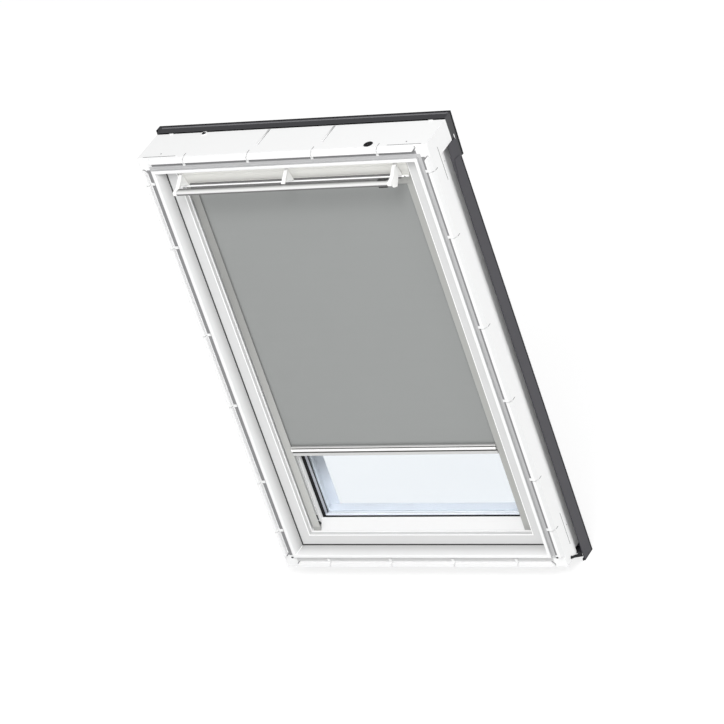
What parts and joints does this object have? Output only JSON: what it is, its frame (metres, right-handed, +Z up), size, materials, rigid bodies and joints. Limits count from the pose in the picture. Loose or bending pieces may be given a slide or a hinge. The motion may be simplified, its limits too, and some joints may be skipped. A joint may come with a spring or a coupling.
{
  "type": "skylight window blind",
  "caption": "White centre-pivot roof window with a grey blackout roller blind in side channels, a top control bar with ventilation flap, and dark metal exterior covers",
  "frame": {"origin": "centre of the window frame's outline, in the plane of the frame's room-side lip", "axes": "+Y out of the building through the roof opening, +Z up the slope of the window towards the control bar, +X to the right seen from the room"},
  "size_m": [0.7836, 0.1884, 1.2155],
  "materials": {
    "white_frame": "satin white",
    "white_sash": "satin white",
    "white_bar": "gloss white",
    "ivory_flap": "satin ivory",
    "dark_cover": "matt dark grey",
    "blind_profile": "satin anodised taupe grey",
    "spacer_metal": "mill finish",
    "blackout_fabric": "plain grey blackout weave",
    "filter_fleece": "white fleece",
    "pane_glass": "clear",
    "black_rubber": "matt black",
    "black_plastic": "matt black",
    "hinge_steel": "zinc plated"
  },
  "bodies": {
    "frame": {"frame_head": "white_frame", "frame_sill": "white_frame", "frame_jamb_left": "white_frame", "frame_jamb_right": "white_frame", "cable_grommet": "black_rubber", "cable_gland": "black_rubber", "hood": "dark_cover", "cladding_left": "dark_cover", "cladding_right": "dark_cover", "sill_cover": "dark_cover", "end_clip_left": "black_plastic", "end_clip_right": "black_plastic", "pivot_plate_left": "hinge_steel", "pivot_plate_right": "hinge_steel", "striker_plate": "hinge_steel"},
    "sash": {"sash_stile_left": "white_sash", "sash_stile_right": "white_sash", "sash_bottom_rail": "white_sash", "sash_top_rail": "white_sash", "pivot_socket_left": "hinge_steel", "pivot_socket_right": "hinge_steel", "lock_case": "hinge_steel", "inner_pane": "pane_glass", "outer_pane": "pane_glass", "pane_spacer": "spacer_metal", "glazing_gasket": "black_rubber", "perimeter_seal": "black_rubber", "bead_left": "white_sash", "bead_right": "white_sash", "bead_bottom": "white_sash", "bead_top": "white_sash", "cover_left": "dark_cover", "cover_right": "dark_cover", "cover_top": "dark_cover", "cover_bottom": "dark_cover", "vent_filter": "filter_fleece", "channel_left": "blind_profile", "channel_right": "blind_profile", "channel_foot_left": "blind_profile", "channel_foot_right": "blind_profile", "blind_cassette": "blind_profile", "cassette_cap_left": "blind_profile", "cassette_cap_right": "blind_profile", "blackout_cloth": "blackout_fabric"},
    "control_bar": {"vent_flap": "ivory_flap", "control_arm_left": "ivory_flap", "control_arm_middle": "ivory_flap", "control_arm_right": "ivory_flap", "control_bar": "white_bar", "bar_clip": "black_plastic"},
    "lock_tongue": {"lock_tongue": "hinge_steel"},
    "roller": {"roller_tube": "spacer_metal", "roller_plug_left": "black_plastic", "roller_plug_right": "black_plastic", "roller_spring": "hinge_steel", "cloth_roll": "blackout_fabric"},
    "blind_bar": {"handle_bar": "blind_profile", "bar_glider_left": "black_plastic", "bar_glider_right": "black_plastic"}
  },
  "joints": [
    {"name": "sash_pivot", "type": "hinge", "parent": "frame", "child": "sash", "pos_m": [0, 0.062, 0], "axis": [1, 0, 0], "range_deg": [0, 160]},
    {"name": "control_bar_pull", "type": "hinge", "parent": "sash", "child": "control_bar", "pos_m": [0, 0.03, 0.499], "axis": [1, 0, 0], "range_deg": [0, 45]},
    {"name": "lock_tongue_slide", "type": "slide", "parent": "sash", "child": "lock_tongue", "axis": [0, 0, 1], "range_m": [-0.0041, 0]},
    {"name": "blind_bar_slide", "type": "slide", "parent": "sash", "child": "blind_bar", "axis": [0, 0, 1], "range_m": [-0.213, 0.722], "deforming": ["blackout_cloth"]},
    {"name": "roller_turn", "type": "hinge", "parent": "sash", "child": "roller", "pos_m": [0, 0.0597, 0.48185], "axis": [1, 0, 0], "range_deg": [-3620, 1080]}
  ],
  "couplings": [
    {"joint": "lock_tongue_slide", "follows": "control_bar_pull", "m_per_rad": -0.005093},
    {"joint": "roller_turn", "follows": "blind_bar_slide", "rad_per_m": -86.957}
  ]
}
